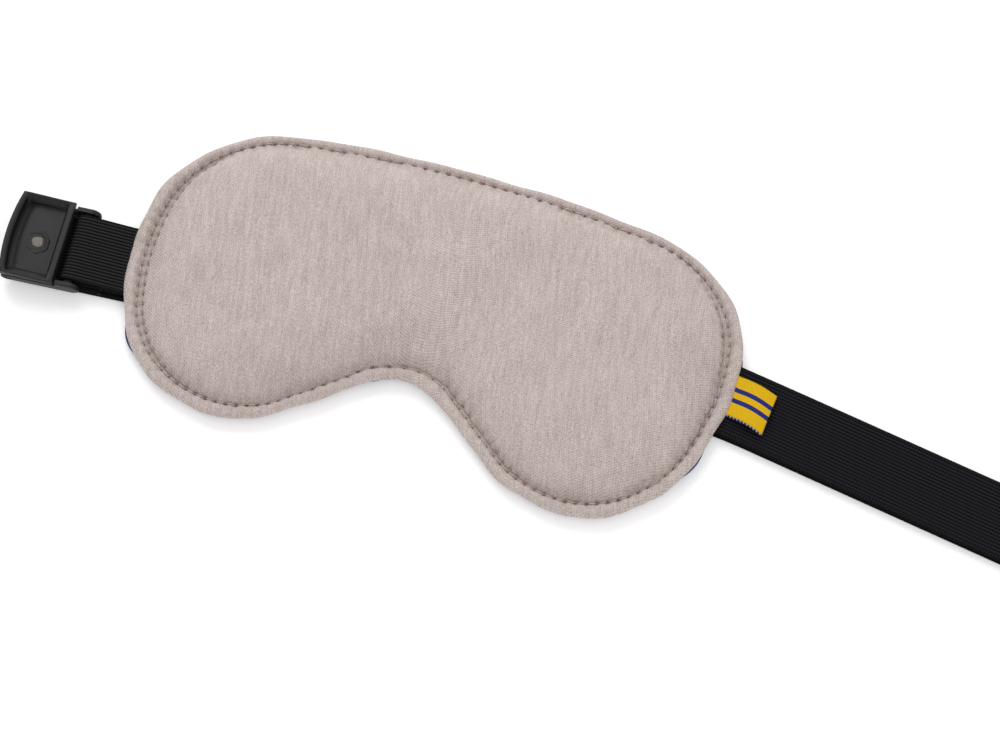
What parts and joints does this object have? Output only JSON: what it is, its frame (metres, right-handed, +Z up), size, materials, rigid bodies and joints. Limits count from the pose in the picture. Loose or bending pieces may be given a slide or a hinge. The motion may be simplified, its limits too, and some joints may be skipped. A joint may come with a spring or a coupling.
{
  "type": "sleep eye mask",
  "caption": "Padded fabric sleep mask with a nose notch, an elastic head strap folded beneath, a lever buckle that adjusts the strap, and a folded side label.",
  "frame": {"origin": "under the middle of the mask, on the flat underside of the head strap, the surface the mask lies on", "axes": "+X across the mask towards the side label, +Y towards the forehead, +Z up out of the face fabric"},
  "size_m": [0.3497, 0.1089, 0.014],
  "materials": {
    "face_jersey": "heather jersey knit, soft matt",
    "lining_cloth": "navy brushed lining",
    "foam": "open-cell foam",
    "blackout_film": "coated blackout cloth",
    "lining_thread": "spun polyester thread",
    "stitch_thread": "spun polyester thread",
    "elastic": "ribbed woven elastic",
    "black_thread": "spun polyester thread",
    "woven_label": "satin-woven label with plain stripes",
    "moulded_plastic": "moulded acetal, fine matt texture"
  },
  "bodies": {
    "mask": {"face_panel": "face_jersey", "lining_panel": "lining_cloth", "foam_pad": "foam", "blackout_interlining": "blackout_film", "seam_thread": "lining_thread", "topstitch_thread": "stitch_thread", "short_strap": "elastic", "head_strap": "elastic", "strap_end_overlock": "black_thread", "buckle_body": "moulded_plastic"},
    "lever": {"buckle_lever": "moulded_plastic"},
    "label": {"side_label": "woven_label"}
  },
  "joints": [
    {"name": "lever_hinge", "type": "hinge", "parent": "mask", "child": "lever", "pos_m": [-0.1377, -0.01598, 0.0037], "axis": [0.0698, -0.9976, 0], "range_deg": [0, 80]},
    {"name": "label_flap", "type": "hinge", "parent": "mask", "child": "label", "pos_m": [0.1012, -0.0016, 0.0041], "axis": [0, -1, 0], "range_deg": [0, 90], "stiffness_Nm_per_rad": 0.0001}
  ]
}
